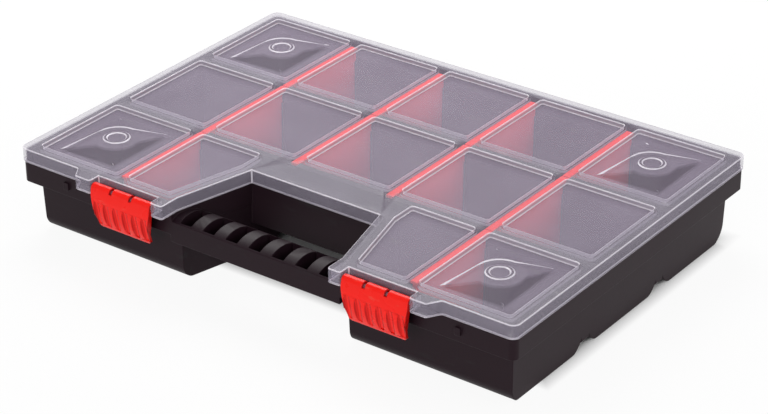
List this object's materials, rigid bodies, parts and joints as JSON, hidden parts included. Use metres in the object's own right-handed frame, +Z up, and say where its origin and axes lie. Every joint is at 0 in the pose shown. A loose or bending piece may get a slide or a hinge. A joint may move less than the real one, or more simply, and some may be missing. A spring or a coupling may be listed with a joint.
{
  "type": "compartment storage box",
  "caption": "Flat carrying box with rounded rows of compartments, removable dividers, a ribbed bar handle, a frosted hinged lid and red snap latches.",
  "frame": {"origin": "on the floor under the middle of the lid", "axes": "+X to the right along the front, +Y to the hinge at the back, +Z up"},
  "size_m": [0.344, 0.2512, 0.0556],
  "materials": {
    "tray": "fine satin moulding",
    "lid": "frosted see-through moulding",
    "latch": "smooth moulding with flutes",
    "divider": "smooth moulding"
  },
  "bodies": {
    "base": {"base_tray": "tray", "divider_back_1": "divider", "divider_back_2": "divider", "divider_back_3": "divider", "divider_back_4": "divider", "divider_middle_1": "divider", "divider_middle_2": "divider", "divider_middle_3": "divider", "divider_middle_4": "divider", "divider_front_left": "divider", "divider_front_right": "divider"},
    "lid": {"lid": "lid"},
    "latch_left": {"latch_left": "latch"},
    "latch_right": {"latch_right": "latch"}
  },
  "joints": [
    {"name": "lid_hinge", "type": "hinge", "parent": "base", "child": "lid", "pos_m": [0, 0.1212, 0.0434], "axis": [-1, 0, 0], "range_deg": [0, 180]},
    {"name": "latch_left_hinge", "type": "hinge", "parent": "lid", "child": "latch_left", "pos_m": [-0.0884, -0.1229, 0.05], "axis": [-1, 0, 0], "range_deg": [0, 100]},
    {"name": "latch_right_hinge", "type": "hinge", "parent": "lid", "child": "latch_right", "pos_m": [0.0884, -0.1229, 0.05], "axis": [-1, 0, 0], "range_deg": [0, 100]}
  ]
}
